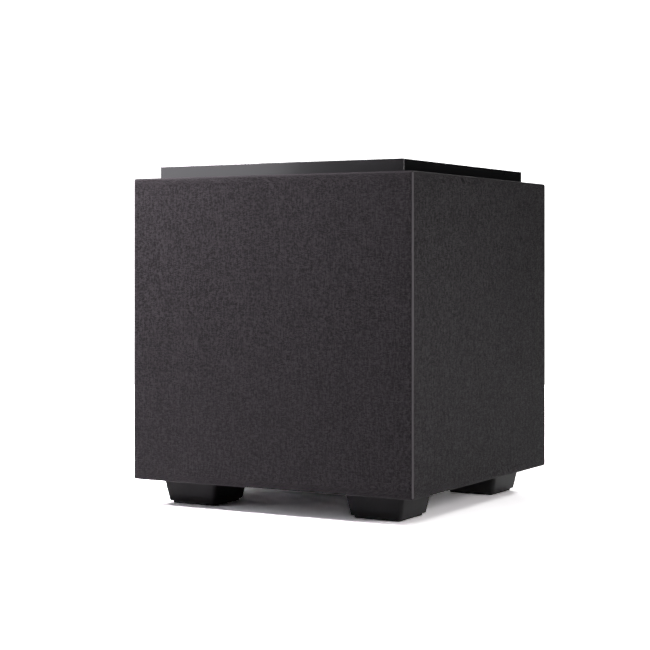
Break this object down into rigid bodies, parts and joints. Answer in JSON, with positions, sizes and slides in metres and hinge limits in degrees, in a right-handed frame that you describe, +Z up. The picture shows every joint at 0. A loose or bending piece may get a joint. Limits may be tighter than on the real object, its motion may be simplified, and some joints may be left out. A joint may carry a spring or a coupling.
{
  "type": "powered subwoofer",
  "caption": "Cube-shaped powered subwoofer in dark stretched cloth, with an inset lacquered top plate, square tapered feet and a recessed rear amplifier panel.",
  "frame": {"origin": "on the floor, under the middle of the box's plan", "axes": "+Z up; the woofer faces -Y; the amplifier panel faces +Y"},
  "size_m": [0.356, 0.356, 0.3845],
  "materials": {
    "cloth": "finely woven dark charcoal stretch cloth",
    "top_lacquer": "black satin lacquer",
    "frame_mdf": "fibreboard stained black",
    "panel_mdf": "raw medium density fibreboard",
    "base_board": "matt black pressed board",
    "foot_plastic": "satin black moulded plastic",
    "sole_rubber": "matt black rubber",
    "zinc_steel": "zinc plated",
    "gasket_rubber": "matt foam rubber",
    "black_steel": "black oxide",
    "basket_paint": "black powder coat",
    "surround_rubber": "matt black butyl rubber",
    "cone_paper": "black pressed paper pulp",
    "former_aluminium": "plain foil",
    "copper_winding": "enamelled copper wire",
    "spider_cloth": "resin-dipped cloth",
    "ferrite": "dull sintered ferrite",
    "brass": "bright",
    "wire_jacket": "soft red insulation",
    "radiator_aluminium": "black anodised aluminium",
    "bezel_plastic": "fine-grained black",
    "amp_paint": "fine black powder coat",
    "board": "green solder mask",
    "raw_aluminium": "extruded",
    "core_steel": "varnished laminations",
    "pot_metal": "plated",
    "knob_plastic": "satin black",
    "slider_plastic": "light grey",
    "inlet_plastic": "semi-gloss black",
    "pin_metal": "nickel plated",
    "jack_brass": "gold plated",
    "lens": "clear blue"
  },
  "bodies": {
    "cabinet": {"grille_cloth": "cloth", "top_plate": "top_lacquer", "front_grille_frame": "frame_mdf", "left_grille_frame": "frame_mdf", "right_grille_frame": "frame_mdf", "rear_grille_frame": "frame_mdf", "front_baffle": "panel_mdf", "rear_panel": "panel_mdf", "left_panel": "panel_mdf", "right_panel": "panel_mdf", "top_panel": "panel_mdf", "bottom_panel": "panel_mdf", "base_cover": "base_board", "foot_front_left": "foot_plastic", "foot_front_right": "foot_plastic", "foot_rear_left": "foot_plastic", "foot_rear_right": "foot_plastic", "foot_soles": "sole_rubber", "foot_screws": "zinc_steel", "seal_gaskets": "gasket_rubber", "driver_screws": "black_steel", "woofer_basket": "basket_paint", "woofer_surround": "surround_rubber", "woofer_spider": "spider_cloth", "woofer_front_plate": "zinc_steel", "woofer_magnets": "ferrite", "woofer_yoke": "zinc_steel", "woofer_terminals": "brass", "speaker_wires": "wire_jacket", "left_radiator_frame": "basket_paint", "right_radiator_frame": "basket_paint", "left_radiator_surround": "surround_rubber", "right_radiator_surround": "surround_rubber", "rear_bezel": "bezel_plastic", "amp_plate": "amp_paint", "amp_board": "board", "amp_heatsink": "raw_aluminium", "power_transformer": "core_steel", "amp_screws": "black_steel", "control_pots": "pot_metal", "switch_housings": "bezel_plastic", "power_inlet": "inlet_plastic", "inlet_pins": "pin_metal", "rca_jacks": "jack_brass", "trigger_jack": "bezel_plastic", "status_lens": "lens"},
    "woofer_cone_group": {"woofer_cone": "cone_paper", "woofer_dust_cap": "cone_paper", "woofer_coil_former": "former_aluminium", "woofer_coil_winding": "copper_winding"},
    "left_radiator_group": {"left_radiator_diaphragm": "radiator_aluminium", "left_radiator_weight": "zinc_steel"},
    "right_radiator_group": {"right_radiator_diaphragm": "radiator_aluminium", "right_radiator_weight": "zinc_steel"},
    "level_control": {"level_knob": "knob_plastic"},
    "crossover_control": {"crossover_knob": "knob_plastic"},
    "phase_switch": {"phase_slider": "slider_plastic"},
    "mode_switch": {"mode_slider": "slider_plastic"},
    "power_switch": {"power_rocker": "inlet_plastic"},
    "fuse_holder": {"fuse_drawer": "inlet_plastic"}
  },
  "joints": [
    {"name": "woofer_travel", "type": "slide", "parent": "cabinet", "child": "woofer_cone_group", "axis": [0, -1, 0], "range_m": [-0.01, 0.01], "stiffness_N_per_m": 4000, "deforming": ["woofer_surround", "woofer_spider"]},
    {"name": "left_radiator_travel", "type": "slide", "parent": "cabinet", "child": "left_radiator_group", "axis": [-1, 0, 0], "range_m": [-0.01, 0.01], "stiffness_N_per_m": 4000, "deforming": ["left_radiator_surround"]},
    {"name": "right_radiator_travel", "type": "slide", "parent": "cabinet", "child": "right_radiator_group", "axis": [1, 0, 0], "range_m": [-0.01, 0.01], "stiffness_N_per_m": 4000, "deforming": ["right_radiator_surround"]},
    {"name": "level_knob_turn", "type": "hinge", "parent": "cabinet", "child": "level_control", "pos_m": [0.062, 0.17, 0.27725], "axis": [0, 1, 0], "range_deg": [-150, 150]},
    {"name": "crossover_knob_turn", "type": "hinge", "parent": "cabinet", "child": "crossover_control", "pos_m": [0.008, 0.17, 0.27725], "axis": [0, 1, 0], "range_deg": [-150, 150]},
    {"name": "phase_slide", "type": "slide", "parent": "cabinet", "child": "phase_switch", "axis": [1, 0, 0], "range_m": [0, 0.004]},
    {"name": "mode_slide", "type": "slide", "parent": "cabinet", "child": "mode_switch", "axis": [1, 0, 0], "range_m": [0, 0.004]},
    {"name": "power_rocker_tilt", "type": "hinge", "parent": "cabinet", "child": "power_switch", "pos_m": [-0.075, 0.1615, 0.11125], "axis": [1, 0, 0], "range_deg": [0, 16]},
    {"name": "fuse_drawer_slide", "type": "slide", "parent": "cabinet", "child": "fuse_holder", "axis": [0, 1, 0], "range_m": [0, 0.017]}
  ]
}
